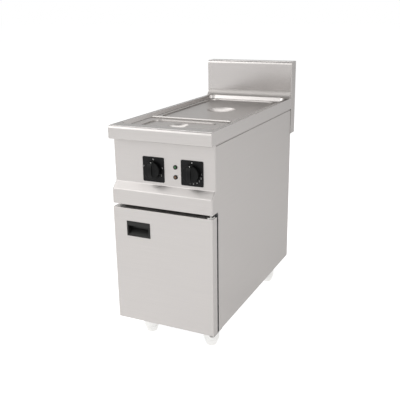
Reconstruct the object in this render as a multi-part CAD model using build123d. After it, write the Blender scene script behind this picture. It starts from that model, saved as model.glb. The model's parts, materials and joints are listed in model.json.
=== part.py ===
"""Electric sauce bain-marie: a drawn worktop with two lidded pans over a hot water well, on a cupboard.

Millimetres, +Z up. The origin is on the floor under the middle of the body, and the front faces -Y.
"""
import os
from math import cos, radians

from build123d import *

# Overall size
WIDTH = 400.0
DEPTH = 900.0
TOP_HEIGHT = 850.0
LEG_HEIGHT = 106.0

# Sheet thicknesses
TOP_SHEET = 1.5
BODY_SHEET = 1.2
DOOR_SHEET = 1.0
PAN_SHEET = 0.8

# Worktop: rounded front edge, skirts and drawn recess
FASCIA_HEIGHT = 48.0
FASCIA_RADIUS = 11.0
FASCIA_FOOT = 3.0
EDGE_RADIUS = 2.0
RECESS_SIDE = 18.0
RECESS_FRONT = 54.0
RECESS_REAR = 18.0
RECESS_DRAFT = 5.0
RECESS_DEPTH = 13.0
RECESS_RADIUS = 25.0
RECESS_EDGE = 2.5
COVE_RADIUS = 28.0
TOP_TUCK = 4.0
SKIRT_GAP = 0.1
SKIRT_GROOVE = 4.5
GROOVE_DEPTH = 3.0

# Upstand behind the worktop
UPSTAND_HEIGHT = 157.0
UPSTAND_DEPTH = 59.0
UPSTAND_DROP = 158.0
UPSTAND_RADIUS = 12.0
BACK_GAP = 50.0

# Pans, their lids and the bar between them
PAN_WIDTH = 325.0
FRONT_PAN_LENGTH = 176.0
PAN_DEPTH = 150.0
PAN_FLANGE = 9.0
PAN_RADIUS = 28.0
FLANGE_RADIUS = 20.0
PAN_DRAFT = 8.0
PAN_FRONT_GAP = 7.0
PAN_REAR_GAP = 18.0
PAN_SIDE_GAP = 2.0
BAR_WIDTH = 24.0
BAR_HEIGHT = 8.5
BAR_SHOULDER = 6.0
BAR_END = 6.0
BAR_BEARING = 7.0
LID_RIM = 2.2
LID_DEPTH = 5.0
LID_DRAFT = 0.8
LID_CLEARANCE = 0.7
LID_EDGE = 0.5
LID_RADIUS = 40.0
FRONT_LID_SIDE = 35.0
FRONT_LID_END = 20.0
FRONT_LID_RADIUS = 32.0
REAR_DISH_DIAMETER = 118.0
REAR_DISH_DEPTH = 14.0
FRONT_DISH_DIAMETER = 76.0
FRONT_DISH_DEPTH = 10.0

# Water well and what hangs under it
WELL_DEPTH = 185.0
WELL_FLANGE = 11.0
WELL_RADIUS = 12.0
MAT_BULB_GAP = 11.0
MAT_THICKNESS = 3.0
MAT_FRONT_MARGIN = 40.0
MAT_REAR_MARGIN = 140.0

# Cabinet and bent control panel
PANEL_SETBACK = 31.0
APRON_SETBACK = 4.3
SLOPE_TOP_DROP = 206.0
SLOPE_BOTTOM_DROP = 230.0
APRON_DROP = 284.6
PANEL_BEND = 5.0
PANEL_FOLD = 4.0
PANEL_RETURN = 5.0
APRON_RETURN = 30.0
CABINET_SETBACK = 52.0
POST_LEG = 20.0
POST_SHEET = 1.5

# Controls
CONTROL_DROP = 151.0
CONTROL_FROM_SIDE = 86.4
CONTROL_PITCH = 150.5
PLATE_WIDTH = 85.0
PLATE_HEIGHT = 90.0
PLATE_THICKNESS = 1.5
PLATE_RADIUS = 5.0
KNOB_HEIGHT = 27.4
KNOB_GAP = 0.6
KNOB_RADIUS = 31.0
DISC_HEIGHT = 18.0
GRIP_INSET = 5.0
GRIP_WIDTH = 13.0
GRIP_CROWN = 60.0
FLANK_RADIUS = 7.0
KNOB_POCKET_RADIUS = 13.0
KNOB_POCKET_DEPTH = 6.0
KNOB_BORE_DEPTH = 18.0
KNOB_EDGE = 1.5
SPINDLE_RADIUS = 3.0
SPINDLE_CLEARANCE = 0.05
NECK_RADIUS = 6.0
NECK_LENGTH = 5.0
HOLE_CLEARANCE = 0.1
NUT_ACROSS = 17.0
NUT_HEIGHT = 3.5
SELECTOR_SIZE = 48.0
SELECTOR_DEPTH = 34.0
THERMOSTAT_SIZE = 42.0
THERMOSTAT_DEPTH = 30.0
LAMP_FROM_CONTROL = 64.3
LAMP_DROP = 153.3
LAMP_PITCH = 35.4
LAMP_RIM_RADIUS = 8.0
LAMP_RIM_HEIGHT = 2.4
LAMP_LENS_RADIUS = 5.6
LAMP_LENS_CROWN = 2.6
LAMP_BARREL_RADIUS = 5.0
LAMP_BARREL_LENGTH = 26.0

# Door, its pull and pivots
DOOR_THICKNESS = 36.0
DOOR_TOP_GAP = 14.0
DOOR_RISE = 2.2
DOOR_EDGE = 1.6
PULL_WIDTH = 96.0
PULL_HEIGHT = 57.0
PULL_FROM_LEFT = 55.0
PULL_FROM_TOP = 47.6
PULL_FRAME = 2.0
PULL_BORDER = 6.0
PULL_WALL = 2.0
PULL_DEPTH = 24.0
PULL_LIP = 10.5
PULL_LIP_SETBACK = 4.0
PULL_SCOOP = 19.0
PULL_EDGE = 0.8
PIVOT_INSET = 10.4
PIN_RADIUS = 4.0
PIN_CLEARANCE = 0.05
PIVOT_PLATE = 4.0
PIVOT_PLATE_RADIUS = 10.0
PIVOT_PLATE_LENGTH = 66.0
TOP_PLATE_WIDTH = 24.0
TOP_PLATE_HEIGHT = 5.0
TOP_PLATE_INSET = 2.0
BUSH_RADIUS = 6.0
BUSH_FLANGE = 3.0
BUSH_FLANGE_RADIUS = 8.0
BUSH_LENGTH = 18.0
BUSH_RUNNING_GAP = 0.3
CATCH_WIDTH = 15.0
CATCH_HEIGHT = 46.0
CATCH_DROP = 90.0
STRIKE_THICKNESS = 1.8
CATCH_GAP = 0.4

# Legs and levelling feet
LEG_FROM_SIDE = 66.4
LEG_FROM_FRONT = 131.0
LEG_FROM_REAR = 135.0
LEG_RADIUS = 31.0
LEG_WALL = 2.0
LEG_PLUG = 14.0
FOOT_HEIGHT = 28.0
FOOT_TOP_RADIUS = 30.0
FOOT_BASE_RADIUS = 21.0
FOOT_EDGE = 2.0
FOOT_GAP = 0.3
FOOT_SPINDLE_RADIUS = 8.0
FOOT_SPINDLE_LENGTH = 58.0
STUD_RADIUS = 5.0
STUD_NUT_ACROSS = 17.0
STUD_NUT_HEIGHT = 8.0
STUD_PROUD = 3.0

# Drain
DRAIN_FROM_REAR = 42.0
DRAIN_BORE = 12.0
DRAIN_PIPE_RADIUS = 16.0
DRAIN_FLANGE_RADIUS = 30.0
DRAIN_FLANGE = 3.0
DRAIN_DROP = 130.0
VALVE_HEIGHT = 60.0
VALVE_RADIUS = 25.0
BALL_RADIUS = 18.0
BALL_GAP = 0.3
STEM_RADIUS = 5.0
STEM_REACH = 36.0
LEVER_LENGTH = 80.0
LEVER_WIDTH = 16.0
LEVER_THICKNESS = 4.0
TAIL_BELOW_BASE = 24.0
HOSE_END_RADIUS = 15.0
HOSE_END_LENGTH = 20.0

# Wiring side
GLAND_FROM_SIDE = 58.4
GLAND_DROP = 240.0
GLAND_THREAD_RADIUS = 10.0
GLAND_BORE = 6.5
GLAND_FLANGE_RADIUS = 14.0
GLAND_FLANGE = 4.0
GLAND_NOSE = 22.0
BLOCK_SIZE = (60.0, 30.0, 26.0)
BLOCK_FROM_BACK = 36.0
LOOM_RADIUS = 4.0
LOOM_BEND = 24.0
LOOM_RISE = 16.0
LOOM_BEHIND_PANEL = 18.0
LOOM_PITCH = 20.0
BULB_RADIUS = 3.0
BULB_LENGTH = 90.0
BULB_FROM_SHAFT = 17.0
BULB_FROM_FRONT = 120.0
CAPILLARY_RADIUS = 1.2
CAPILLARY_BEND = 10.0

# Back panel screws
SCREW_ROWS = 4
SCREW_RADIUS = 2.0
SCREW_LENGTH = 6.0
SCREW_HEAD_RADIUS = 4.0
SCREW_HEAD = 2.2
SCREW_MARGIN = 40.0

# Places worked out from the sizes above
FRONT = -DEPTH / 2
REAR = DEPTH / 2
TOP = TOP_HEIGHT
HALF = WIDTH / 2
LEDGE = TOP - RECESS_DEPTH
UPSTAND_FRONT = REAR - UPSTAND_DEPTH
BACK = REAR - BACK_GAP
BASE = LEG_HEIGHT
BASE_TOP = BASE + BODY_SHEET
CABINET_HALF = HALF - TOP_SHEET - SKIRT_GAP
INNER_HALF = CABINET_HALF - BODY_SHEET
CABINET_FRONT = FRONT + CABINET_SETBACK
PANEL_FRONT = FRONT + PANEL_SETBACK
PANEL_BACK = PANEL_FRONT + BODY_SHEET
APRON_FRONT = FRONT + APRON_SETBACK
APRON_BOTTOM = TOP - APRON_DROP
DECK = APRON_BOTTOM + BODY_SHEET
DECK_TOP = DECK + BODY_SHEET
UNDER_TOP = TOP - TOP_SHEET
SKIRT_BOTTOM = TOP - FASCIA_HEIGHT
RECESS_X = (-HALF + RECESS_SIDE, HALF - RECESS_SIDE)
RECESS_Y = (FRONT + RECESS_FRONT, UPSTAND_FRONT - RECESS_REAR)
LEDGE_Y = (RECESS_Y[0] + RECESS_DRAFT, RECESS_Y[1] - RECESS_DRAFT)
FRONT_PAN_Y = (LEDGE_Y[0] + PAN_FRONT_GAP, LEDGE_Y[0] + PAN_FRONT_GAP + FRONT_PAN_LENGTH)
BAR_Y = (FRONT_PAN_Y[1] + PAN_SIDE_GAP, FRONT_PAN_Y[1] + PAN_SIDE_GAP + BAR_WIDTH)
REAR_PAN_Y = (BAR_Y[1] + PAN_SIDE_GAP, LEDGE_Y[1] - PAN_REAR_GAP)
PAN_X = (-PAN_WIDTH / 2, PAN_WIDTH / 2)
WELL_INSET = PAN_FLANGE - PAN_SIDE_GAP
WELL_X = (PAN_X[0] + WELL_INSET, PAN_X[1] - WELL_INSET)
WELL_Y = (FRONT_PAN_Y[0] + WELL_INSET, REAR_PAN_Y[1] - WELL_INSET)
WELL_FLOOR = LEDGE - WELL_DEPTH
WELL_UNDER = WELL_FLOOR - BODY_SHEET
LID_BASE = LEDGE + PAN_SHEET
LID_TOP = LID_BASE + LID_RIM
CONTROL_Z = TOP - CONTROL_DROP
THERMOSTAT_X = CABINET_HALF - CONTROL_FROM_SIDE
SELECTOR_X = THERMOSTAT_X - CONTROL_PITCH
LAMP_X = THERMOSTAT_X - LAMP_FROM_CONTROL
BULB_X = THERMOSTAT_X + BULB_FROM_SHAFT
MAT_HALF = BULB_X - BULB_RADIUS - MAT_BULB_GAP
PLATE_FRONT = PANEL_FRONT - PLATE_THICKNESS
KNOB_BACK = PLATE_FRONT - KNOB_GAP
DOOR_X = (-CABINET_HALF, CABINET_HALF)
DOOR_Z = (BASE + DOOR_RISE, APRON_BOTTOM - DOOR_TOP_GAP)
DOOR_BACK = APRON_FRONT + DOOR_THICKNESS
PIVOT_X = CABINET_HALF - PIVOT_INSET
PIVOT_Y = APRON_FRONT + PIVOT_INSET
PULL_X = (DOOR_X[0] + PULL_FROM_LEFT, DOOR_X[0] + PULL_FROM_LEFT + PULL_WIDTH)
PULL_Z = (DOOR_Z[1] - PULL_FROM_TOP - PULL_HEIGHT, DOOR_Z[1] - PULL_FROM_TOP)
CUP_BORDER = PULL_BORDER - PULL_WALL
DRAIN_X = 0.0
DRAIN_Y = WELL_Y[1] - DRAIN_FROM_REAR
VALVE_TOP = WELL_UNDER - DRAIN_DROP
VALVE_MID = VALVE_TOP - VALVE_HEIGHT / 2
VALVE_BOTTOM = VALVE_TOP - VALVE_HEIGHT
LEG_X = CABINET_HALF - LEG_FROM_SIDE
LEG_PLACES = {
    "front_left": (-LEG_X, FRONT + LEG_FROM_FRONT),
    "front_right": (LEG_X, FRONT + LEG_FROM_FRONT),
    "rear_left": (-LEG_X, REAR - LEG_FROM_REAR),
    "rear_right": (LEG_X, REAR - LEG_FROM_REAR),
}
SCREW_X = INNER_HALF - POST_LEG / 2
SCREW_SPAN = (BASE_TOP + SCREW_MARGIN, DECK - SCREW_MARGIN)
SCREW_PITCH = (SCREW_SPAN[1] - SCREW_SPAN[0]) / (SCREW_ROWS - 1)
SCREW_Z = [SCREW_SPAN[0] + row * SCREW_PITCH for row in range(SCREW_ROWS)]
GLAND_X = GLAND_FROM_SIDE - CABINET_HALF
GLAND_Z = TOP - GLAND_DROP
THROUGH = 40.0


# Shapes used by several pieces
def grow(span, by):
    return (span[0] - by, span[1] + by)


def middle(span):
    return (span[0] + span[1]) / 2


def block(x, y, z):
    size = Box(x[1] - x[0], y[1] - y[0], z[1] - z[0], align=(Align.MIN, Align.MIN, Align.MIN))
    return Pos(x[0], y[0], z[0]) * size


def rounded_rect(x, y, z, radius):
    return Pos(middle(x), middle(y), z) * RectangleRounded(x[1] - x[0], y[1] - y[0], radius)


def rounded_block(x, y, z, radius):
    return extrude(rounded_rect(x, y, z[0], radius), z[1] - z[0])


def drawn_block(x, y, z, radius, draft):
    floor = rounded_rect(grow(x, -draft), grow(y, -draft), z[0], radius - draft)
    return loft([floor, rounded_rect(x, y, z[1], radius)])


def rod_z(x, y, z, radius):
    return Pos(x, y, z[0]) * Cylinder(radius, z[1] - z[0], align=(Align.CENTER, Align.CENTER, Align.MIN))


def rod_y(x, z, y, radius):
    rod = Cylinder(radius, y[1] - y[0], align=(Align.CENTER, Align.CENTER, Align.MIN))
    return Pos(x, y[0], z) * Rot(-90, 0, 0) * rod


def hexagon(across, height):
    return extrude(RegularPolygon(across / 2, 6, major_radius=False), height)


def along_x(section, x):
    """A (Y, Z) section carried from x[0] to x[1]."""
    return extrude(Plane.YZ.offset(x[0]) * section, x[1] - x[0], dir=(1, 0, 0))


def yz_prism(points, x):
    return along_x(Polygon(*points, align=None), x)


def facing_front(x, y, z):
    """A plane on the front, with its own Z pointing out of the front and its own Y up."""
    return Plane(origin=(x, y, z), x_dir=(1, 0, 0), z_dir=(0, -1, 0))


# Worktop and upstand
def worktop():
    """A fascia and skirts round a flat top, coved up at the rear, with a recess that holds the ledge and well."""
    x, y = (-HALF, HALF), (FRONT, UPSTAND_FRONT + TOP_TUCK)
    outer = nosed_block(x, y, (SKIRT_BOTTOM, TOP), FASCIA_RADIUS, FASCIA_FOOT)
    side_edges = outer.edges().filter_by(Axis.Y).group_by(Axis.Z)[-1]
    outer = fillet(side_edges, EDGE_RADIUS) + rear_cove()
    inside_x, inside_y = grow(x, -TOP_SHEET), (FRONT + TOP_SHEET, UPSTAND_FRONT + THROUGH)
    inside_z = (SKIRT_BOTTOM + TOP_SHEET, UNDER_TOP)
    hollow = nosed_block(inside_x, inside_y, inside_z, FASCIA_RADIUS - TOP_SHEET, FASCIA_FOOT - TOP_SHEET)
    open_below = block(inside_x, (PANEL_FRONT, inside_y[1]), (SKIRT_BOTTOM - THROUGH, UNDER_TOP))
    shell = outer - hollow - open_below
    tray_x, tray_y = grow(RECESS_X, TOP_SHEET), grow(RECESS_Y, TOP_SHEET)
    shell += drawn_block(tray_x, tray_y, (LEDGE - TOP_SHEET, TOP), RECESS_RADIUS + TOP_SHEET, RECESS_DRAFT)
    rise = COVE_RADIUS / 2
    flare = RECESS_DRAFT * rise / RECESS_DEPTH
    cut_x, cut_y = grow(RECESS_X, flare), grow(RECESS_Y, flare)
    shell -= drawn_block(cut_x, cut_y, (LEDGE, TOP + rise), RECESS_RADIUS + flare, RECESS_DRAFT + flare)
    brim = [e for e in shell.edges() if abs(e.center().Z - TOP) < TOP_SHEET / 10 and on_recess_wall(e)]
    shell = fillet(brim, RECESS_EDGE * TOP_SHEET / (TOP_SHEET + RECESS_EDGE))
    return shell - rounded_block(WELL_X, WELL_Y, (LEDGE - THROUGH, TOP), WELL_RADIUS)


def rear_cove():
    """The rounded joint up to a lip against the upstand, which keeps the corner easy to clean."""
    lip = UPSTAND_FRONT - TOP_SHEET
    start = (lip - COVE_RADIUS, TOP)
    end = (lip, TOP + COVE_RADIUS)
    cove = TangentArc(start, end, tangent=(1, 0))
    back = Polyline(end, (UPSTAND_FRONT, end[1]), (UPSTAND_FRONT, TOP), start)
    return along_x(make_face(cove + back), (EDGE_RADIUS - HALF, HALF - EDGE_RADIUS))


def nosed_block(x, y, z, nose, foot):
    """A block with its top front edge rounded by nose and its bottom front edge by foot."""
    solid = block(x, y, z)
    solid = fillet(solid.edges().filter_by(Axis.X).group_by(Axis.Y)[0].sort_by(Axis.Z)[-1], nose)
    return fillet(solid.edges().filter_by(Axis.X).group_by(Axis.Y)[0].sort_by(Axis.Z)[0], foot)


def on_recess_wall(edge):
    box = edge.bounding_box()
    inside_x = box.min.X > -HALF + RECESS_SIDE / 2 and box.max.X < HALF - RECESS_SIDE / 2
    return inside_x and box.min.Y > FRONT + RECESS_FRONT / 2 and box.max.Y < UPSTAND_FRONT - RECESS_REAR / 2


def upstand():
    crown = TOP + UPSTAND_HEIGHT
    foot = TOP - UPSTAND_DROP
    tuck = UPSTAND_FRONT + TOP_TUCK
    front_side = [(tuck, foot), (tuck, TOP), (UPSTAND_FRONT, TOP), (UPSTAND_FRONT, crown)]
    outer = yz_prism(front_side + [(REAR, crown), (REAR, foot)], (-HALF, HALF))
    top_front = outer.edges().filter_by(Axis.X).group_by(Axis.Z)[-1].sort_by(Axis.Y)[0]
    outer = fillet(top_front, UPSTAND_RADIUS)
    uprights = outer.edges().filter_by(Axis.Z).group_by(Axis.Y)[0]
    outer = fillet(uprights, EDGE_RADIUS)
    inside_x = (-HALF + BODY_SHEET, HALF - BODY_SHEET)
    hood_y = (UPSTAND_FRONT + BODY_SHEET, REAR - BODY_SHEET)
    hood = block(inside_x, hood_y, (TOP - THROUGH, crown - BODY_SHEET))
    hood_edge = hood.edges().filter_by(Axis.X).group_by(Axis.Z)[-1].sort_by(Axis.Y)[0]
    skirt = block(inside_x, (UPSTAND_FRONT - THROUGH, REAR - BODY_SHEET), (foot - THROUGH, TOP))
    return outer - fillet(hood_edge, UPSTAND_RADIUS - BODY_SHEET) - skirt


# Pans, lids and bar
def pan(y):
    flange = rounded_block(PAN_X, y, (LEDGE, LEDGE + PAN_SHEET), FLANGE_RADIUS)
    mouth_x, mouth_y = grow(PAN_X, -PAN_FLANGE), grow(y, -PAN_FLANGE)
    top = LEDGE + PAN_SHEET
    tub = drawn_block(mouth_x, mouth_y, (top - PAN_DEPTH, top), PAN_RADIUS, PAN_DRAFT)
    hollow_x, hollow_y = grow(mouth_x, -PAN_SHEET), grow(mouth_y, -PAN_SHEET)
    floor = top - PAN_DEPTH + PAN_SHEET
    return flange + tub - drawn_block(hollow_x, hollow_y, (floor, top), PAN_RADIUS - PAN_SHEET, PAN_DRAFT)


def lid(y, side, end, radius, dish_diameter, dish_depth):
    """A lid with a sunken panel, side and end in from its edges, and a round dished finger recess."""
    rim = rounded_block(PAN_X, y, (LID_BASE, LID_TOP), FLANGE_RADIUS)
    panel_x, panel_y = grow(PAN_X, -side), grow(y, -end)
    floor = LID_TOP - LID_DEPTH
    outside_x, outside_y = grow(panel_x, PAN_SHEET), grow(panel_y, PAN_SHEET)
    tray = drawn_block(outside_x, outside_y, (floor - PAN_SHEET, LID_TOP), radius + PAN_SHEET, LID_DRAFT)
    ball = (dish_diameter**2 / 4 + dish_depth**2) / (2 * dish_depth)
    centre = Pos(0, middle(y), floor - dish_depth + ball)
    reach = block(outside_x, outside_y, (floor - dish_depth - THROUGH, floor))
    body = rim + tray + (centre * Sphere(ball + PAN_SHEET) & reach)
    body -= drawn_block(panel_x, panel_y, (floor, LID_TOP), radius, LID_DRAFT)
    body -= centre * Sphere(ball) & reach
    top_edges = [e for e in body.edges() if abs(e.bounding_box().min.Z - LID_TOP) < LID_EDGE / 10]
    return fillet(top_edges, LID_EDGE)


def front_lid():
    return lid(
        FRONT_PAN_Y, FRONT_LID_SIDE, FRONT_LID_END, FRONT_LID_RADIUS, FRONT_DISH_DIAMETER, FRONT_DISH_DEPTH
    )


def rear_lid():
    inset = PAN_FLANGE + PAN_SHEET + LID_CLEARANCE + PAN_SHEET
    return lid(REAR_PAN_Y, inset, inset, LID_RADIUS, REAR_DISH_DIAMETER, REAR_DISH_DEPTH)


def pan_bridge_bar():
    crown = LEDGE + BAR_HEIGHT
    shoulder = LEDGE + BAR_SHOULDER
    half_length = WELL_X[1] + BAR_BEARING
    side = Line((BAR_Y[0], LEDGE), (BAR_Y[0], shoulder))
    dome = ThreePointArc((BAR_Y[0], shoulder), (middle(BAR_Y), crown), (BAR_Y[1], shoulder))
    base = Polyline((BAR_Y[1], shoulder), (BAR_Y[1], LEDGE), (BAR_Y[0], LEDGE))
    reach = block((-half_length, half_length), BAR_Y, (LEDGE, crown))
    ends = reach.edges().filter_by(Axis.Y).group_by(Axis.Z)[-1]
    return fillet(ends, BAR_END) & along_x(make_face(side + dome + base), (-half_length, half_length))


# Water well and its heater
def water_well():
    outside_x, outside_y = grow(WELL_X, BODY_SHEET), grow(WELL_Y, BODY_SHEET)
    under_ledge = LEDGE - TOP_SHEET
    tub = rounded_block(outside_x, outside_y, (WELL_UNDER, under_ledge), WELL_RADIUS + BODY_SHEET)
    flange_x, flange_y = grow(WELL_X, WELL_FLANGE), grow(WELL_Y, WELL_FLANGE)
    flange_z = (under_ledge - BODY_SHEET, under_ledge)
    tub += rounded_block(flange_x, flange_y, flange_z, WELL_RADIUS + WELL_FLANGE)
    tub -= rounded_block(WELL_X, WELL_Y, (WELL_FLOOR, TOP), WELL_RADIUS)
    return tub - rod_z(DRAIN_X, DRAIN_Y, (WELL_UNDER - THROUGH, TOP), DRAIN_BORE)


def heating_mat():
    y = (WELL_Y[0] + MAT_FRONT_MARGIN, WELL_Y[1] - MAT_REAR_MARGIN)
    return block((-MAT_HALF, MAT_HALF), y, (WELL_UNDER - MAT_THICKNESS, WELL_UNDER))


# Cabinet shell
def panel_front_line():
    corners = [
        (PANEL_FRONT, UNDER_TOP),
        (PANEL_FRONT, TOP - SLOPE_TOP_DROP),
        (APRON_FRONT, TOP - SLOPE_BOTTOM_DROP),
        (APRON_FRONT, APRON_BOTTOM),
    ]
    return FilletPolyline(*corners, radius=[PANEL_BEND, PANEL_BEND + 2 * BODY_SHEET])


def panel_slab(depth, half, fold):
    """A slab from depth behind the panel's front to past its side returns, with both front edges rounded."""
    line = panel_front_line()
    section = make_face(offset(line, depth + PANEL_RETURN, side=Side.LEFT))
    if depth > 0:
        section -= make_face(offset(line, depth, side=Side.LEFT))
    slab = along_x(section, (-half, half))
    front = []
    for edge in slab.edges():
        spot = edge.position_at(0.5)
        from_line = line.distance_to(Vector(spot.Y, spot.Z))
        if abs(abs(spot.X) - half) < BODY_SHEET / 10 and abs(from_line - depth) < BODY_SHEET / 10:
            front.append(edge)
    return fillet(front, fold)


def control_panel():
    """A bent sheet across the front, folded back at both sides and along the bottom of its apron."""
    panel = panel_slab(0, CABINET_HALF, PANEL_FOLD)
    panel -= panel_slab(BODY_SHEET, INNER_HALF, PANEL_FOLD - BODY_SHEET)
    inside = (-INNER_HALF, INNER_HALF)
    apron_back = APRON_FRONT + BODY_SHEET
    panel += block(inside, (apron_back, apron_back + APRON_RETURN), (APRON_BOTTOM, DECK))
    through = (PANEL_FRONT - THROUGH, PANEL_BACK + THROUGH)
    for x in (SELECTOR_X, THERMOSTAT_X):
        panel -= rod_y(x, CONTROL_Z, through, NECK_RADIUS + HOLE_CLEARANCE)
    for z in lamp_heights():
        panel -= rod_y(LAMP_X, z, through, LAMP_BARREL_RADIUS + HOLE_CLEARANCE)
    return panel - pivot_hole()


def pivot_hole():
    span = (APRON_BOTTOM - THROUGH, DECK_TOP + THROUGH)
    return rod_z(PIVOT_X, PIVOT_Y, span, BUSH_RADIUS + HOLE_CLEARANCE)


def side_panel(side):
    """A flat side behind the panel's fold, stepped back for the door and joggled in under the worktop's skirt."""
    fold_line = offset(panel_front_line(), PANEL_RETURN, side=Side.LEFT, closed=False)
    rest = Polyline(
        (APRON_FRONT + PANEL_RETURN, APRON_BOTTOM),
        (CABINET_FRONT, APRON_BOTTOM),
        (CABINET_FRONT, BASE),
        (BACK, BASE),
        (BACK, UNDER_TOP),
        (PANEL_FRONT + PANEL_RETURN, UNDER_TOP),
    )
    outline = make_face(fold_line.edges() + rest.edges())
    joggle = SKIRT_BOTTOM - SKIRT_GROOVE
    sheet = along_x(outline, (INNER_HALF, CABINET_HALF))
    sheet -= block((INNER_HALF, CABINET_HALF), (FRONT, REAR), (joggle, TOP))
    y = (PANEL_FRONT + PANEL_RETURN, BACK - BODY_SHEET)
    sheet += block((INNER_HALF - GROOVE_DEPTH, CABINET_HALF), y, (joggle - BODY_SHEET, joggle))
    sheet += block((INNER_HALF - GROOVE_DEPTH, CABINET_HALF - GROOVE_DEPTH), y, (joggle - BODY_SHEET, UNDER_TOP))
    return sheet if side > 0 else mirror(sheet, about=Plane.YZ)


def corner_post(side, at_front):
    """An angle post in a corner of the cupboard, one leg on the side panel and one across the opening."""
    z = (BASE_TOP, DECK)
    if at_front:
        y = (CABINET_FRONT, CABINET_FRONT + POST_LEG)
        across = (y[0], y[0] + POST_SHEET)
    else:
        y = (BACK - BODY_SHEET - POST_LEG, BACK - BODY_SHEET)
        across = (y[1] - POST_SHEET, y[1])
    post = block((INNER_HALF - POST_SHEET, INNER_HALF), y, z)
    post += block((INNER_HALF - POST_LEG, INNER_HALF), across, z)
    if side < 0:
        post = mirror(post, about=Plane.YZ)
    return post if at_front else post - screw_holes()


def screw_holes():
    span = (BACK - THROUGH, BACK + THROUGH)
    radius = SCREW_RADIUS + HOLE_CLEARANCE
    return Compound(children=[rod_y(x, z, span, radius) for x, z in screw_places()])


def screw_places():
    return [(side * SCREW_X, z) for side in (-1, 1) for z in SCREW_Z]


def panel_screws():
    screws = []
    for x, z in screw_places():
        shank = rod_y(x, z, (BACK - SCREW_LENGTH, BACK), SCREW_RADIUS)
        head = rod_y(x, z, (BACK, BACK + SCREW_HEAD), SCREW_HEAD_RADIUS)
        rim = head.edges().filter_by(GeomType.CIRCLE).sort_by(Axis.Y)[-1]
        screws.append(shank + fillet(rim, SCREW_HEAD / 2))
    return screws


def back_panel():
    sheet = block((-INNER_HALF, INNER_HALF), (BACK - BODY_SHEET, BACK), (BASE, UNDER_TOP))
    through = (BACK - THROUGH, BACK + THROUGH)
    sheet -= rod_y(GLAND_X, GLAND_Z, through, GLAND_THREAD_RADIUS + HOLE_CLEARANCE)
    return sheet - screw_holes()


def base_panel():
    sheet = block((-INNER_HALF, INNER_HALF), (CABINET_FRONT, BACK - BODY_SHEET), (BASE, BASE_TOP))
    through = (BASE - THROUGH, BASE + THROUGH)
    for x, y in LEG_PLACES.values():
        sheet -= rod_z(x, y, through, STUD_RADIUS + HOLE_CLEARANCE)
    return sheet - rod_z(DRAIN_X, DRAIN_Y, through, DRAIN_PIPE_RADIUS + HOLE_CLEARANCE)


def deck_panel():
    y = (APRON_FRONT + PANEL_FOLD, BACK - BODY_SHEET)
    sheet = block((-INNER_HALF, INNER_HALF), y, (DECK, DECK_TOP))
    through = (DECK - THROUGH, DECK + THROUGH)
    sheet -= rod_z(DRAIN_X, DRAIN_Y, through, DRAIN_PIPE_RADIUS + HOLE_CLEARANCE)
    return sheet - pivot_hole()


# Controls
def lamp_heights():
    middle_height = TOP - LAMP_DROP
    return (middle_height + LAMP_PITCH / 2, middle_height - LAMP_PITCH / 2)


def dial_plate(x):
    face = RectangleRounded(PLATE_WIDTH, PLATE_HEIGHT, PLATE_RADIUS)
    plate = extrude(facing_front(x, PANEL_FRONT, CONTROL_Z) * face, PLATE_THICKNESS)
    through = (PLATE_FRONT - THROUGH, PANEL_FRONT + THROUGH)
    return plate - rod_y(x, CONTROL_Z, through, NECK_RADIUS + HOLE_CLEARANCE)


def knob(x):
    """A round disc with a crowned grip bar that flares into its face, hollow round the neck nut."""
    standing = (Align.CENTER, Align.CENTER, Align.MIN)
    disc = Cylinder(KNOB_RADIUS, DISC_HEIGHT, align=standing)
    disc = fillet(disc.edges().group_by(Axis.Z)[-1], KNOB_EDGE)
    reach = Cylinder(KNOB_RADIUS - GRIP_INSET, KNOB_HEIGHT, align=standing)
    crown = Pos(0, 0, KNOB_HEIGHT - GRIP_CROWN) * Rot(0, 90, 0) * Cylinder(GRIP_CROWN, 2 * KNOB_RADIUS)
    bar = extrude(Plane.XZ * grip_section(), KNOB_RADIUS, both=True) & reach & crown
    pocket = Cylinder(KNOB_POCKET_RADIUS, KNOB_POCKET_DEPTH, align=standing)
    bore = Cylinder(SPINDLE_RADIUS, KNOB_BORE_DEPTH, align=standing)
    return facing_front(x, KNOB_BACK, CONTROL_Z) * (disc + bar - pocket - bore)


def grip_section():
    half = GRIP_WIDTH / 2
    foot = half + FLANK_RADIUS
    shoulder = DISC_HEIGHT + FLANK_RADIUS
    root = DISC_HEIGHT - KNOB_EDGE
    left = TangentArc((-foot, DISC_HEIGHT), (-half, shoulder), tangent=(1, 0))
    top = Polyline((-half, shoulder), (-half, KNOB_HEIGHT), (half, KNOB_HEIGHT), (half, shoulder))
    right = TangentArc((half, shoulder), (foot, DISC_HEIGHT), tangent=(0, -1))
    base = Polyline((foot, DISC_HEIGHT), (foot, root), (-foot, root), (-foot, DISC_HEIGHT))
    return make_face(left + top + right + base)


def spindle(x, depth):
    return rod_y(x, CONTROL_Z, (KNOB_BACK - KNOB_BORE_DEPTH, PANEL_BACK + depth / 2), SPINDLE_RADIUS)


def control_body(x, size, depth):
    """A switch or thermostat behind the panel, with the threaded neck that holds it and its plate."""
    case_x, case_z = grow((x, x), size / 2), grow((CONTROL_Z, CONTROL_Z), size / 2)
    body = block(case_x, (PANEL_BACK, PANEL_BACK + depth), case_z)
    body += rod_y(x, CONTROL_Z, (PLATE_FRONT - NECK_LENGTH, PANEL_BACK), NECK_RADIUS)
    bore = SPINDLE_RADIUS + SPINDLE_CLEARANCE
    return body - rod_y(x, CONTROL_Z, (PLATE_FRONT - THROUGH, PANEL_BACK + depth / 2), bore)


def control_nuts():
    nuts = []
    for x in (SELECTOR_X, THERMOSTAT_X):
        nut = facing_front(x, PLATE_FRONT, CONTROL_Z) * hexagon(NUT_ACROSS, NUT_HEIGHT)
        nuts.append(nut - rod_y(x, CONTROL_Z, grow((PLATE_FRONT, PLATE_FRONT), THROUGH), NECK_RADIUS))
    return nuts


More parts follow.
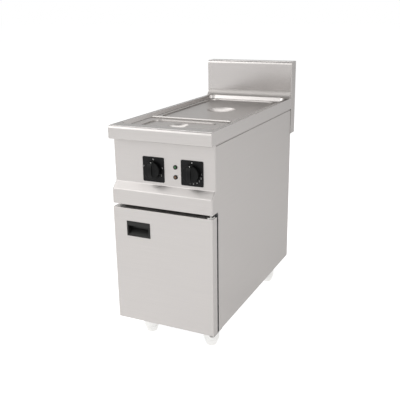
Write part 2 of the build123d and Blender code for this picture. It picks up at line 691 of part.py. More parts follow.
def lamp_body(z):
    rim = rod_y(LAMP_X, z, (PANEL_FRONT - LAMP_RIM_HEIGHT, PANEL_FRONT), LAMP_RIM_RADIUS)
    rim = fillet(rim.edges().filter_by(GeomType.CIRCLE).sort_by(Axis.Y)[0], LAMP_RIM_HEIGHT / 3)
    barrel = rod_y(LAMP_X, z, (PANEL_FRONT, PANEL_BACK + LAMP_BARREL_LENGTH), LAMP_BARREL_RADIUS)
    seat = (PANEL_FRONT - THROUGH, PANEL_FRONT - LAMP_RIM_HEIGHT / 2)
    return rim + barrel - rod_y(LAMP_X, z, seat, LAMP_LENS_RADIUS)


def lamp_lens(z):
    seat = PANEL_FRONT - LAMP_RIM_HEIGHT / 2
    ball = (LAMP_LENS_RADIUS**2 + LAMP_LENS_CROWN**2) / (2 * LAMP_LENS_CROWN)
    front = PANEL_FRONT - LAMP_RIM_HEIGHT - LAMP_LENS_CROWN
    lens = rod_y(LAMP_X, z, (front, seat), LAMP_LENS_RADIUS)
    return lens & (Pos(LAMP_X, front + ball, z) * Sphere(ball))


# Door
def door_skin():
    y = (APRON_FRONT, DOOR_BACK)
    outer = block(DOOR_X, y, DOOR_Z)
    outer = fillet(outer.faces().sort_by(Axis.Y)[0].edges(), DOOR_EDGE)
    hollow_x, hollow_z = grow(DOOR_X, -DOOR_SHEET), grow(DOOR_Z, -DOOR_SHEET)
    hollow = block(hollow_x, (y[0] + DOOR_SHEET, y[1] + THROUGH), hollow_z)
    hollow = fillet(hollow.faces().sort_by(Axis.Y)[0].edges(), DOOR_EDGE - DOOR_SHEET)
    skin = outer - hollow
    cup_x, cup_z = pull_cup()
    front = (y[0] - THROUGH, y[0] + DOOR_EDGE)
    skin -= block(grow(cup_x, HOLE_CLEARANCE), front, grow(cup_z, HOLE_CLEARANCE))
    bottom = (DOOR_Z[0] - THROUGH, DOOR_Z[0] + THROUGH)
    return skin - rod_z(PIVOT_X, PIVOT_Y, bottom, BUSH_RADIUS + HOLE_CLEARANCE)


def door_liner():
    return block(grow(DOOR_X, -DOOR_SHEET), (DOOR_BACK - DOOR_SHEET, DOOR_BACK), grow(DOOR_Z, -DOOR_SHEET))


def pull_cup():
    return grow(PULL_X, -CUP_BORDER), grow(PULL_Z, -CUP_BORDER)


def door_handle():
    """A recessed pull: a frame on the door, a cup behind it, a lip to hook and a sloping floor."""
    frame = block(PULL_X, (APRON_FRONT - PULL_FRAME, APRON_FRONT), PULL_Z)
    frame = chamfer(frame.faces().sort_by(Axis.Y)[0].edges(), PULL_EDGE)
    cup_x, cup_z = pull_cup()
    back = APRON_FRONT + PULL_DEPTH
    cup = block(cup_x, (APRON_FRONT, back), cup_z)
    low, high = cup_z[0] + PULL_WALL, cup_z[1] - PULL_WALL
    front = APRON_FRONT - PULL_FRAME
    lip = high - PULL_LIP
    lip_back = front + PULL_LIP_SETBACK
    rear = back - PULL_WALL
    mouth = [(front - THROUGH, lip), (front - THROUGH, low), (front, low)]
    pocket = [(rear, low + PULL_SCOOP), (rear, high), (lip_back, high), (lip_back, lip)]
    return frame + cup - yz_prism(mouth + pocket, grow(cup_x, -PULL_WALL))


def hinge_top_plate():
    x = (DOOR_X[1] - TOP_PLATE_INSET - TOP_PLATE_WIDTH, DOOR_X[1] - TOP_PLATE_INSET)
    y = grow((APRON_FRONT, DOOR_BACK), -TOP_PLATE_INSET)
    z = (DOOR_Z[1], DOOR_Z[1] + TOP_PLATE_HEIGHT)
    plate = rounded_block(x, y, z, PIVOT_PLATE_RADIUS)
    return plate + rod_z(PIVOT_X, PIVOT_Y, (z[1], DECK_TOP + BUSH_FLANGE), PIN_RADIUS)


def bush(seat, low, high):
    """A flanged bush round the pivot: the flange stands on seat, the barrel runs from low to high."""
    body = rod_z(PIVOT_X, PIVOT_Y, (low, high), BUSH_RADIUS)
    body += rod_z(PIVOT_X, PIVOT_Y, (seat, seat + BUSH_FLANGE), BUSH_FLANGE_RADIUS)
    return body - rod_z(PIVOT_X, PIVOT_Y, (low - THROUGH, high + THROUGH), PIN_RADIUS + PIN_CLEARANCE)


def hinge_top_bush():
    return bush(APRON_BOTTOM - BUSH_FLANGE, APRON_BOTTOM - BUSH_FLANGE, DECK_TOP + BUSH_FLANGE)


def hinge_bottom_bush():
    return bush(DOOR_Z[0] + DOOR_SHEET, BASE + BUSH_RUNNING_GAP, DOOR_Z[0] + DOOR_SHEET + BUSH_LENGTH)


def hinge_bottom_bracket():
    z = (BASE - PIVOT_PLATE, BASE)
    outline = SlotCenterToCenter(PIVOT_PLATE_LENGTH, 2 * PIVOT_PLATE_RADIUS, rotation=90)
    plate = extrude(Pos(PIVOT_X, PIVOT_Y + PIVOT_PLATE_LENGTH / 2, z[0]) * outline, PIVOT_PLATE)
    return plate + rod_z(PIVOT_X, PIVOT_Y, (z[1], DOOR_Z[0] + BUSH_LENGTH), PIN_RADIUS)


def catch_span():
    x = (-INNER_HALF + POST_SHEET, -INNER_HALF + POST_SHEET + CATCH_WIDTH)
    z_top = DOOR_Z[1] - CATCH_DROP
    return x, (z_top - CATCH_HEIGHT, z_top)


def magnet_catch():
    x, z = catch_span()
    return block(x, (DOOR_BACK + STRIKE_THICKNESS + CATCH_GAP, CABINET_FRONT), z)


def strike_plate():
    x, z = catch_span()
    return block(x, (DOOR_BACK, DOOR_BACK + STRIKE_THICKNESS), z)


# Legs and feet
def leg(x, y):
    """A tubular leg with a closed top, a plug below for the levelling spindle and a stud through the base."""
    low = FOOT_HEIGHT + FOOT_GAP
    body = rod_z(x, y, (low, BASE), LEG_RADIUS)
    body -= rod_z(x, y, (low + LEG_PLUG, BASE - LEG_WALL), LEG_RADIUS - LEG_WALL)
    body -= rod_z(x, y, (low - THROUGH, low + LEG_PLUG), FOOT_SPINDLE_RADIUS + PIN_CLEARANCE)
    return body + rod_z(x, y, (BASE, BASE_TOP + STUD_NUT_HEIGHT + STUD_PROUD), STUD_RADIUS)


def foot(x, y):
    standing = (Align.CENTER, Align.CENTER, Align.MIN)
    cone = Cone(FOOT_BASE_RADIUS, FOOT_TOP_RADIUS, FOOT_HEIGHT, align=standing)
    cone = Pos(x, y, 0) * fillet(cone.edges().filter_by(GeomType.CIRCLE), FOOT_EDGE)
    return cone + rod_z(x, y, (FOOT_HEIGHT, FOOT_HEIGHT + FOOT_SPINDLE_LENGTH), FOOT_SPINDLE_RADIUS)


def leg_nuts():
    nuts = []
    for x, y in LEG_PLACES.values():
        z = (BASE_TOP, BASE_TOP + STUD_NUT_HEIGHT)
        nut = Pos(x, y, z[0]) * hexagon(STUD_NUT_ACROSS, STUD_NUT_HEIGHT)
        nuts.append(nut - rod_z(x, y, grow(z, THROUGH), STUD_RADIUS))
    return nuts


# Drain
def drain_spigot():
    pipe = rod_z(DRAIN_X, DRAIN_Y, (VALVE_TOP, WELL_UNDER), DRAIN_PIPE_RADIUS)
    pipe += rod_z(DRAIN_X, DRAIN_Y, (WELL_UNDER - DRAIN_FLANGE, WELL_UNDER), DRAIN_FLANGE_RADIUS)
    return pipe - rod_z(DRAIN_X, DRAIN_Y, (VALVE_TOP - THROUGH, TOP), DRAIN_BORE)


def drain_valve_body():
    body = rod_z(DRAIN_X, DRAIN_Y, (VALVE_BOTTOM, VALVE_TOP), VALVE_RADIUS)
    body -= rod_z(DRAIN_X, DRAIN_Y, grow((VALVE_BOTTOM, VALVE_TOP), THROUGH), DRAIN_BORE)
    body -= Pos(DRAIN_X, DRAIN_Y, VALVE_MID) * Sphere(BALL_RADIUS + BALL_GAP)
    return body - rod_y(DRAIN_X, VALVE_MID, (DRAIN_Y - THROUGH, DRAIN_Y), STEM_RADIUS + SPINDLE_CLEARANCE)


def drain_ball():
    """The ball, bored across for the shut position, with its stem out of the front of the valve."""
    ball = Sphere(BALL_RADIUS) - Rot(0, 90, 0) * Cylinder(DRAIN_BORE, 2 * BALL_RADIUS + THROUGH)
    ball = Pos(DRAIN_X, DRAIN_Y, VALVE_MID) * ball
    stem_end = DRAIN_Y - BALL_RADIUS * cos(radians(45))
    return ball + rod_y(DRAIN_X, VALVE_MID, (DRAIN_Y - STEM_REACH, stem_end), STEM_RADIUS)


def drain_lever():
    y = (DRAIN_Y - STEM_REACH, DRAIN_Y - STEM_REACH + LEVER_THICKNESS)
    outline = Pos(LEVER_LENGTH / 2, 0) * SlotCenterToCenter(LEVER_LENGTH, LEVER_WIDTH)
    bar = extrude(facing_front(DRAIN_X, y[1], VALVE_MID) * outline, LEVER_THICKNESS)
    return bar - rod_y(DRAIN_X, VALVE_MID, grow(y, THROUGH), STEM_RADIUS)


def drain_tailpipe():
    end = BASE - TAIL_BELOW_BASE
    shoulder = end + HOSE_END_LENGTH
    pipe = rod_z(DRAIN_X, DRAIN_Y, (shoulder, VALVE_BOTTOM), DRAIN_PIPE_RADIUS)
    pipe += rod_z(DRAIN_X, DRAIN_Y, (end, shoulder), HOSE_END_RADIUS)
    return pipe - rod_z(DRAIN_X, DRAIN_Y, (end - THROUGH, TOP), DRAIN_BORE)


# Wiring side
def cable_gland():
    inner, outer = BACK - BODY_SHEET, BACK
    body = rod_y(GLAND_X, GLAND_Z, (inner, outer), GLAND_THREAD_RADIUS)
    body += rod_y(GLAND_X, GLAND_Z, (inner - GLAND_FLANGE, inner), GLAND_FLANGE_RADIUS)
    body += rod_y(GLAND_X, GLAND_Z, (outer, outer + GLAND_FLANGE), GLAND_FLANGE_RADIUS)
    body += rod_y(GLAND_X, GLAND_Z, (outer + GLAND_FLANGE, outer + GLAND_NOSE), GLAND_THREAD_RADIUS)
    return body - rod_y(GLAND_X, GLAND_Z, (inner - THROUGH, outer + THROUGH), GLAND_BORE)


def block_place():
    y_back = BACK - BODY_SHEET - BLOCK_FROM_BACK
    return (GLAND_X - BLOCK_SIZE[0] / 2, GLAND_X + BLOCK_SIZE[0] / 2), (y_back - BLOCK_SIZE[1], y_back)


def terminal_block():
    x, y = block_place()
    return block(x, y, (DECK_TOP, DECK_TOP + BLOCK_SIZE[2]))


def wiring_loom():
    """Two wire bundles along the floor of the machine space, from the terminal block up to each control."""
    _, y = block_place()
    looms = []
    for step, (x, size) in enumerate(((SELECTOR_X, SELECTOR_SIZE), (THERMOSTAT_X, THERMOSTAT_SIZE))):
        start_x = GLAND_X - LOOM_PITCH / 2 + step * LOOM_PITCH
        height = DECK_TOP + LOOM_RISE
        front = PANEL_BACK + LOOM_BEHIND_PANEL + (1 - step) * 2 * LOOM_RADIUS * (1 + HOLE_CLEARANCE)
        corners = [
            (start_x, y[0], height),
            (start_x, front, height),
            (x, front, height),
            (x, front, CONTROL_Z - size / 2),
        ]
        path = FilletPolyline(*corners, radius=LOOM_BEND)
        looms.append(sweep(Plane(origin=corners[0], z_dir=(0, -1, 0)) * Circle(LOOM_RADIUS), path=path))
    return looms


def thermostat_bulb():
    """The sensing bulb under the well and its capillary up to the thermostat."""
    z = WELL_UNDER - BULB_RADIUS
    y = PANEL_BACK + THERMOSTAT_DEPTH / 4
    bulb_front = WELL_Y[0] + BULB_FROM_FRONT
    bulb = rod_y(BULB_X, z, (bulb_front, bulb_front + BULB_LENGTH), BULB_RADIUS)
    corners = [(BULB_X, bulb_front, z), (BULB_X, y, z), (BULB_X, y, CONTROL_Z - THERMOSTAT_SIZE / 2)]
    path = FilletPolyline(*corners, radius=CAPILLARY_BEND)
    tube = sweep(Plane(origin=corners[0], z_dir=(0, -1, 0)) * Circle(CAPILLARY_RADIUS), path=path)
    return bulb + tube


def pieces():
    green, amber = lamp_heights()
    parts = {
        "worktop": worktop(),
        "upstand": upstand(),
        "left_side_panel": side_panel(-1),
        "right_side_panel": side_panel(1),
        "back_panel": back_panel(),
        "base_panel": base_panel(),
        "deck_panel": deck_panel(),
        "control_panel": control_panel(),
        "left_front_post": corner_post(-1, True),
        "right_front_post": corner_post(1, True),
        "left_rear_post": corner_post(-1, False),
        "right_rear_post": corner_post(1, False),
        "panel_screws": panel_screws(),
        "water_well": water_well(),
        "heating_mat": heating_mat(),
        "pan_bridge_bar": pan_bridge_bar(),
        "front_pan": pan(FRONT_PAN_Y),
        "front_lid": front_lid(),
        "rear_pan": pan(REAR_PAN_Y),
        "rear_lid": rear_lid(),
        "selector_plate": dial_plate(SELECTOR_X),
        "selector_knob": knob(SELECTOR_X),
        "selector_spindle": spindle(SELECTOR_X, SELECTOR_DEPTH),
        "selector_switch": control_body(SELECTOR_X, SELECTOR_SIZE, SELECTOR_DEPTH),
        "thermostat_plate": dial_plate(THERMOSTAT_X),
        "thermostat_knob": knob(THERMOSTAT_X),
        "thermostat_spindle": spindle(THERMOSTAT_X, THERMOSTAT_DEPTH),
        "thermostat_body": control_body(THERMOSTAT_X, THERMOSTAT_SIZE, THERMOSTAT_DEPTH),
        "thermostat_bulb": thermostat_bulb(),
        "control_nuts": control_nuts(),
        "green_lamp_body": lamp_body(green),
        "green_lamp_lens": lamp_lens(green),
        "amber_lamp_body": lamp_body(amber),
        "amber_lamp_lens": lamp_lens(amber),
        "terminal_block": terminal_block(),
        "wiring_loom": wiring_loom(),
        "cable_gland": cable_gland(),
        "door_skin": door_skin(),
        "door_liner": door_liner(),
        "door_handle": door_handle(),
        "hinge_top_plate": hinge_top_plate(),
        "hinge_top_bush": hinge_top_bush(),
        "hinge_bottom_bracket": hinge_bottom_bracket(),
        "hinge_bottom_bush": hinge_bottom_bush(),
        "magnet_catch": magnet_catch(),
        "strike_plate": strike_plate(),
        "leg_nuts": leg_nuts(),
        "drain_spigot": drain_spigot(),
        "drain_valve_body": drain_valve_body(),
        "drain_ball": drain_ball(),
        "drain_lever": drain_lever(),
        "drain_tailpipe": drain_tailpipe(),
    }
    for name, (x, y) in LEG_PLACES.items():
        parts[f"leg_{name}"] = leg(x, y)
        parts[f"foot_{name}"] = foot(x, y)
    return parts


os.makedirs("parts", exist_ok=True)
for node, shape in pieces().items():
    solids = shape if isinstance(shape, list) else [shape]
    export_step(Compound(children=[s for piece in solids for s in piece.solids()]), f"parts/{node}.step")
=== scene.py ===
"""Looks of the sauce bain-marie: finishes, printed dial marks, camera and studio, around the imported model.

Metres, +Z up, front to -Y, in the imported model's own frame.
"""
import json
from math import radians

import bmesh
import bpy
from mathutils import Matrix, Vector


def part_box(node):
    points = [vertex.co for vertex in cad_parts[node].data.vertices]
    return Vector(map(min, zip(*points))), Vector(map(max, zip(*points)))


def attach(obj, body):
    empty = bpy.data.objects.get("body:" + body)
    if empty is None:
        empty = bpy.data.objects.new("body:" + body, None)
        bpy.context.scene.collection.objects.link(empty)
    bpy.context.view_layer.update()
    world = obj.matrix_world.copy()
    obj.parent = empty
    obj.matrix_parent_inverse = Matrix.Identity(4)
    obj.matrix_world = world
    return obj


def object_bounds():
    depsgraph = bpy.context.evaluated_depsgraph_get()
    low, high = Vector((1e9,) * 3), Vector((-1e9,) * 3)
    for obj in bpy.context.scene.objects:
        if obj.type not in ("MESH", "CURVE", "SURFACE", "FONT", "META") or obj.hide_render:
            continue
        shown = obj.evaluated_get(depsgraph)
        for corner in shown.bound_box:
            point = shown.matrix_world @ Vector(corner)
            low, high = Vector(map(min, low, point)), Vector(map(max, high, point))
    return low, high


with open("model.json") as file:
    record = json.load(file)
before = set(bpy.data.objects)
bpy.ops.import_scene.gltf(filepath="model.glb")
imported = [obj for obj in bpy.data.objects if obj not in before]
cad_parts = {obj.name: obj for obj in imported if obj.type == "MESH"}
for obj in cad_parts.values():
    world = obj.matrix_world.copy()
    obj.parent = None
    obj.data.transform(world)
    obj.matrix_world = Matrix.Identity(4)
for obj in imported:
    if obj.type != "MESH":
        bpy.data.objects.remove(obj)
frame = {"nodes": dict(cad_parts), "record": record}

MM = 0.001
CAD_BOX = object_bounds()
NODES = frame["nodes"]

# Camera, solved from the photograph's edges: its angles in degrees, its lens and sensor in millimetres
CAMERA_PLACE = (1.01807, -2.2349, 1.23791)
CAMERA_HEADING = 25.81
CAMERA_DOWN = 17.34
CAMERA_ROLL = -0.9
CAMERA_LENS = 55.53
CAMERA_SENSOR = 36.0

# Studio: a white floor and room, whose ceiling dims between two heights. Level is 0 and straight up is 1
WHITE = "#FFFFFF"
FLOOR_HALF = 40.0
FLOOR_GLOW = 0.87
FLOOR_COLOUR = "#DADADA"
ROOM_LIGHT = 0.3
CEILING = 0.35
CEILING_FROM = 0.5
CEILING_FULL = 0.85

# Softboxes, all aimed at one point: place, width, height and power of each
LAMP_TARGET = (0.0, -0.1, 0.6)
LAMPS = {
    "key_softbox": ((-2.55, -1.95, 3.3), 2.8, 3.6, 58.0),
    "front_softbox": ((-1.3, -3.8, 2.2), 3.2, 2.2, 18.0),
    "back_softbox": ((-1.9, 2.8, 3.6), 3.0, 2.4, 44.0),
    "fill_softbox": ((3.2, -1.2, 2.2), 2.0, 2.0, 22.0),
}

# Printed marks on the dial plates: degrees clockwise from the top, and the way out from the middle
MARK_REACH = 36.5 * MM
EDGE_REACH = 40.0 * MM
SELECTOR_MARKS = {
    "0": (0.0, MARK_REACH),
    "1": (78.0, MARK_REACH),
    "2": (121.0, MARK_REACH),
    "3": (-76.0, EDGE_REACH),
}
THERMOSTAT_TURNS = (0.0, 90.0, 112.0, 131.0, 150.5, 172.0, 191.5)
THERMOSTAT_MARKS = {str(i): (turn, MARK_REACH) for i, turn in enumerate(THERMOSTAT_TURNS)}

# Size of a numeral, its height as a share of the font's size, and how much its strokes are thickened
MARK_HEIGHT = 5.2 * MM
NUMERAL_SHARE = 0.7
STROKE_SWELL = 0.24 * MM

# How far print stands above its surface and reaches into it
MARK_LIFT = 0.12 * MM
MARK_SINK = 0.1 * MM

# White dot on each knob, whose place is found by a probe that starts in front of the whole unit
POINTER_RADIUS = 1.9 * MM
POINTER_REACH = 28.1 * MM
POINTER_SIDES = 24
PROBE_LEAD = 0.1

# Belt-ground lines: their spacing on sheet and on lids, their length in spacings, and how much they change
# the roughness and the relief. The real ones, about 0.2 mm apart, are too fine to show
SHEET_LINES = 2.0 * MM
LID_LINES = 1.6 * MM
LINE_LENGTH = 90
LINE_BLUR = 0.06
LINE_RELIEF = 0.06

# How far up a face looks, from 0 to 1, where it starts to count as lying flat and where it fully does, and
# the range that the lines on it are held to
FLAT_FROM = 0.8
FLAT_FULL = 0.98
FLAT_LINES_LOW = 0.4
FLAT_LINES_HIGH = 0.6

# The worktop's welded rear joint rises from the flat top and is dull a little above it. The flat top is
# painted darker, as painted shade
WORKTOP_TOP = 850.0 * MM
JOINT_BLEND = 2.0 * MM
JOINT_ROUGHNESS = 0.5
FLAT_TOP_SHADE = 0.5

# Lamp lenses: their facets, and how far from the middle they start to darken and are darkest
LENS_FACET = 1.6 * MM
FACET_DEPTH = 0.3 * MM
LENS_CLEAR = 2.0 * MM
LENS_RIM = 7.0 * MM

# Sizes of the other patterns, the depth of fine relief, and how much grain and wear change the roughness
SHEET_CLOUD = 180.0 * MM
ZINC_CRYSTAL = 12.0 * MM
INK_GRAIN = 1.5 * MM
GRAIN_DEPTH = 0.1 * MM
GRAIN_BLUR = 0.07
WEAR_POLISH = 0.06
WEAR_DULLING = 0.08

# Nodes that look different from the rest of their slot: the worktop has a ground joint and painted shade
# where it lies flat, the pull is a paler black and the bar is drawn like the lids
OWN_FINISH = {
    "worktop": "worktop_stainless",
    "door_handle": "pull_plastic",
    "pan_bridge_bar": "lid_stainless",
}

# Mix node's colour inputs and output, and its inputs for plain numbers, which share their names
MIX_A, MIX_B, MIX_OUT = 6, 7, 2
NUMBER_A, NUMBER_B = 2, 3


def linear(hex_colour):
    """An sRGB hex colour as linear RGBA."""
    channels = [int(hex_colour[i:i + 2], 16) / 255 for i in (1, 3, 5)]
    return [c / 12.92 if c <= 0.04045 else ((c + 0.055) / 1.055) ** 2.4 for c in channels] + [1.0]


def add(tree, kind, sockets=None, **settings):
    """Adds a node with its settings and links.

    sockets maps an input's name or number to a value or to another node's output.
    """
    node = tree.nodes.new(kind)
    for name, value in settings.items():
        setattr(node, name, value)
    for key, value in (sockets or {}).items():
        if isinstance(value, bpy.types.NodeSocket):
            tree.links.new(value, node.inputs[key])
        else:
            node.inputs[key].default_value = value
    return node


def start(name):
    """A new material with its tree and the surface's own coordinates."""
    material = bpy.data.materials.new(name)
    material.use_nodes = True
    tree = material.node_tree
    tree.nodes.clear()
    return material, tree, add(tree, "ShaderNodeTexCoord").outputs["Object"]


def close(material, shader):
    """Ends a material's tree with its shader."""
    add(material.node_tree, "ShaderNodeOutputMaterial", {"Surface": shader.outputs[0]})
    return material


def ground_lines(tree, place, spacing):
    """Belt-ground lines, and how flat the face lies.

    The lines are level on upright faces, and fainter and front to back on flat ones.
    """
    across, along = 1 / spacing, 1 / (LINE_LENGTH * spacing)
    level = add(tree, "ShaderNodeMapping", {"Vector": place, "Scale": (along, along, across)})
    lengthwise = add(tree, "ShaderNodeMapping", {"Vector": place, "Scale": (across, along, along)})
    normal = add(tree, "ShaderNodeNewGeometry").outputs["True Normal"]
    facing = add(tree, "ShaderNodeSeparateXYZ", {0: normal})
    upward = add(tree, "ShaderNodeMath", {0: facing.outputs["Z"]}, operation="ABSOLUTE")
    flat = add(
        tree,
        "ShaderNodeMapRange",
        {"Value": upward.outputs[0], "From Min": FLAT_FROM, "From Max": FLAT_FULL},
    )
    upright_lines = add(
        tree, "ShaderNodeTexNoise", {"Vector": level.outputs[0], "Scale": 1.0, "Detail": 3.0}
    )
    flat_lines = add(
        tree, "ShaderNodeTexNoise", {"Vector": lengthwise.outputs[0], "Scale": 1.0, "Detail": 3.0}
    )
    faint = add(
        tree,
        "ShaderNodeMapRange",
        {"Value": flat_lines.outputs["Fac"], "To Min": FLAT_LINES_LOW, "To Max": FLAT_LINES_HIGH},
    )
    lines = add(
        tree,
        "ShaderNodeMix",
        {
            "Factor": flat.outputs[0],
            NUMBER_A: upright_lines.outputs["Fac"],
            NUMBER_B: faint.outputs[0],
        },
        data_type="FLOAT",
    )
    return lines.outputs[0], flat.outputs[0]


def stainless_sheet(name, upright, lying, joint_from=None):
    """Stainless sheet, belt ground: pale, with soft reflections and faint lines, blurred less along them.

    upright and lying are the roughness of faces that stand, seen across their lines, and of faces that lie
    flat, seen along them. From the height joint_from up, the sheet is a welded joint ground by hand, which
    is duller and darker. Such a sheet also carries painted shade where it lies flat, painted darker there.
    """
    material, tree, place = start(name)
    lines, flat = ground_lines(tree, place, SHEET_LINES)
    cloud = add(tree, "ShaderNodeTexNoise", {"Vector": place, "Scale": 1 / SHEET_CLOUD, "Detail": 2.0})
    tone = add(
        tree,
        "ShaderNodeMix",
        {"Factor": lines, MIX_A: linear("#C7C3C0"), MIX_B: linear("#D6D2CF")},
        data_type="RGBA",
    )
    shade = add(
        tree,
        "ShaderNodeMix",
        {"Factor": cloud.outputs["Fac"], MIX_A: tone.outputs[MIX_OUT], MIX_B: linear("#CECAC8")},
        data_type="RGBA",
    )
    blur = add(tree, "ShaderNodeMapRange", {"Value": flat, "To Min": upright, "To Max": lying})
    if joint_from is not None:
        height = add(tree, "ShaderNodeSeparateXYZ", {0: place}).outputs["Z"]
        joint = add(
            tree,
            "ShaderNodeMapRange",
            {"Value": height, "From Min": joint_from, "From Max": joint_from + JOINT_BLEND},
        )
        # Painted shade: faces that lie flat are painted halfway towards the joint's darker grey
        flat_shade = add(tree, "ShaderNodeMath", {0: flat, 1: FLAT_TOP_SHADE}, operation="MULTIPLY")
        darker = add(tree, "ShaderNodeMath", {0: joint.outputs[0], 1: flat_shade.outputs[0]}, operation="MAXIMUM")
        shade = add(
            tree,
            "ShaderNodeMix",
            {"Factor": darker.outputs[0], MIX_A: shade.outputs[MIX_OUT], MIX_B: linear("#B8B4B1")},
            data_type="RGBA",
        )
        blur = add(
            tree,
            "ShaderNodeMapRange",
            {"Value": joint.outputs[0], "To Min": blur.outputs[0], "To Max": JOINT_ROUGHNESS},
        )
    spread = add(
        tree, "ShaderNodeMapRange", {"Value": lines, "To Min": 1 - LINE_BLUR, "To Max": 1 + LINE_BLUR}
    )
    rough = add(tree, "ShaderNodeMath", {0: blur.outputs[0], 1: spread.outputs[0]}, operation="MULTIPLY")
    relief = add(tree, "ShaderNodeMapRange", {"Value": flat, "To Min": LINE_RELIEF, "To Max": 0.0})
    bump = add(
        tree,
        "ShaderNodeBump",
        {"Height": lines, "Strength": relief.outputs[0], "Distance": GRAIN_DEPTH},
    )
    shader = add(
        tree,
        "ShaderNodeBsdfPrincipled",
        {
            "Base Color": shade.outputs[MIX_OUT],
            "Metallic": 0.7,
            "Roughness": rough.outputs[0],
            "Specular IOR Level": 0.1,
            "Specular Tint": linear("#B4B4B4"),
            "Normal": bump.outputs[0],
        },
    )
    return close(material, shader)


def drawn_stainless():
    """Stainless drawn into lids and pans: greyer than the sheet, with lines front to back where flat."""
    material, tree, place = start("drawn_stainless")
    lines, _ = ground_lines(tree, place, LID_LINES)
    tone = add(
        tree,
        "ShaderNodeMix",
        {"Factor": lines, MIX_A: linear("#BBB7B4"), MIX_B: linear("#C2BEBB")},
        data_type="RGBA",
    )
    rough = add(tree, "ShaderNodeMapRange", {"Value": lines, "To Min": 0.25, "To Max": 0.31})
    shader = add(
        tree,
        "ShaderNodeBsdfPrincipled",
        {
            "Base Color": tone.outputs[MIX_OUT],
            "Metallic": 0.8,
            "Roughness": rough.outputs[0],
            "Specular IOR Level": 0.1,
            "Specular Tint": linear("#B0B0B0"),
        },
    )
    return close(material, shader)


def galvanised_steel():
    """Hot-dip galvanised sheet: dull grey zinc in crystals that differ a little in tone and shine."""
    material, tree, place = start("galvanised_steel")
    crystals = add(tree, "ShaderNodeTexVoronoi", {"Vector": place, "Scale": 1 / ZINC_CRYSTAL}, feature="F1")
    grey = add(tree, "ShaderNodeSeparateColor", {0: crystals.outputs["Color"]})
    tone = add(
        tree,
        "ShaderNodeMix",
        {"Factor": grey.outputs[0], MIX_A: linear("#A4A6A7"), MIX_B: linear("#B5B7B7")},
        data_type="RGBA",
    )
    rough = add(tree, "ShaderNodeMapRange", {"Value": grey.outputs[1], "To Min": 0.38, "To Max": 0.55})
    shader = add(
        tree,
        "ShaderNodeBsdfPrincipled",
        {"Base Color": tone.outputs[MIX_OUT], "Metallic": 0.85, "Roughness": rough.outputs[0]},
    )
    return close(material, shader)


def plated_metal(name, light, dark, grain_mm, roughness):
    """Small metal pieces, pressed or turned: one colour with fine uneven wear from handling."""
    material, tree, place = start(name)
    grain = add(
        tree, "ShaderNodeTexNoise", {"Vector": place, "Scale": 1 / (grain_mm * MM), "Detail": 4.0}
    )
    tone = add(
        tree,
        "ShaderNodeMix",
        {"Factor": grain.outputs["Fac"], MIX_A: linear(dark), MIX_B: linear(light)},
        data_type="RGBA",
    )
    rough = add(
        tree,
        "ShaderNodeMapRange",
        {
            "Value": grain.outputs["Fac"],
            "To Min": roughness - WEAR_POLISH,
            "To Max": roughness + WEAR_DULLING,
        },
    )
    shader = add(
        tree,
        "ShaderNodeBsdfPrincipled",
        {"Base Color": tone.outputs[MIX_OUT], "Metallic": 1.0, "Roughness": rough.outputs[0]},
    )
    return close(material, shader)


def moulded_plastic(name, light, dark, grain_mm, roughness, relief, sheen=0.5):
    """Injection-moulded plastic with the fine even grain of a spark-eroded mould."""
    material, tree, place = start(name)
    grain = add(
        tree, "ShaderNodeTexNoise", {"Vector": place, "Scale": 1 / (grain_mm * MM), "Detail": 2.0}
    )
    tone = add(
        tree,
        "ShaderNodeMix",
        {"Factor": grain.outputs["Fac"], MIX_A: linear(dark), MIX_B: linear(light)},
        data_type="RGBA",
    )
    rough = add(
        tree,
        "ShaderNodeMapRange",
        {
            "Value": grain.outputs["Fac"],
            "To Min": roughness - GRAIN_BLUR,
            "To Max": roughness + GRAIN_BLUR,
        },
    )
    bump = add(
        tree,
        "ShaderNodeBump",
        {"Height": grain.outputs["Fac"], "Strength": relief, "Distance": GRAIN_DEPTH},
    )
    shader = add(
        tree,
        "ShaderNodeBsdfPrincipled",
        {
            "Base Color": tone.outputs[MIX_OUT],
            "Roughness": rough.outputs[0],
            "Specular IOR Level": sheen,
            "Normal": bump.outputs[0],
        },
    )
    return close(material, shader)


def lamp_lens(name, light, dark, centre):
    """Tinted polycarbonate lens: paler in its thin middle and dark towards its rim, with cut facets."""
    material, tree, place = start(name)
    shifted = add(tree, "ShaderNodeVectorMath", {0: place, 1: centre}, operation="SUBTRACT")
    reach = add(tree, "ShaderNodeVectorMath", {0: shifted.outputs[0]}, operation="LENGTH")
    ring = add(
        tree,
        "ShaderNodeMapRange",
        {"Value": reach.outputs["Value"], "From Min": LENS_CLEAR, "From Max": LENS_RIM},
    )
    facets = add(tree, "ShaderNodeTexVoronoi", {"Vector": shifted.outputs[0], "Scale": 1 / LENS_FACET})
    tone = add(
        tree,
        "ShaderNodeMix",
        {"Factor": ring.outputs[0], MIX_A: linear(light), MIX_B: linear(dark)},
        data_type="RGBA",
    )
    bump = add(
        tree,
        "ShaderNodeBump",
        {"Height": facets.outputs["Distance"], "Strength": 0.3, "Distance": FACET_DEPTH},
    )
    shader = add(
        tree,
        "ShaderNodeBsdfPrincipled",
        {
            "Base Color": tone.outputs[MIX_OUT],
            "Roughness": 0.15,
            "IOR": 1.58,
            "Normal": bump.outputs[0],
        },
    )
    return close(material, shader)


def printed_white():
    """Screen-printed white ink: matt, slightly thin in places."""
    material, tree, place = start("printed_white")
    film = add(tree, "ShaderNodeTexNoise", {"Vector": place, "Scale": 1 / INK_GRAIN, "Detail": 2.0})
    tone = add(
        tree,
        "ShaderNodeMix",
        {"Factor": film.outputs["Fac"], MIX_A: linear("#D9D9D6"), MIX_B: linear("#F4F4F2")},
        data_type="RGBA",
    )
    shader = add(tree, "ShaderNodeBsdfPrincipled", {"Base Color": tone.outputs[MIX_OUT], "Roughness": 0.6})
    return close(material, shader)


def middle(node):
    """Middle of a node's box."""
    low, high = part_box(node)
    return (low + high) / 2


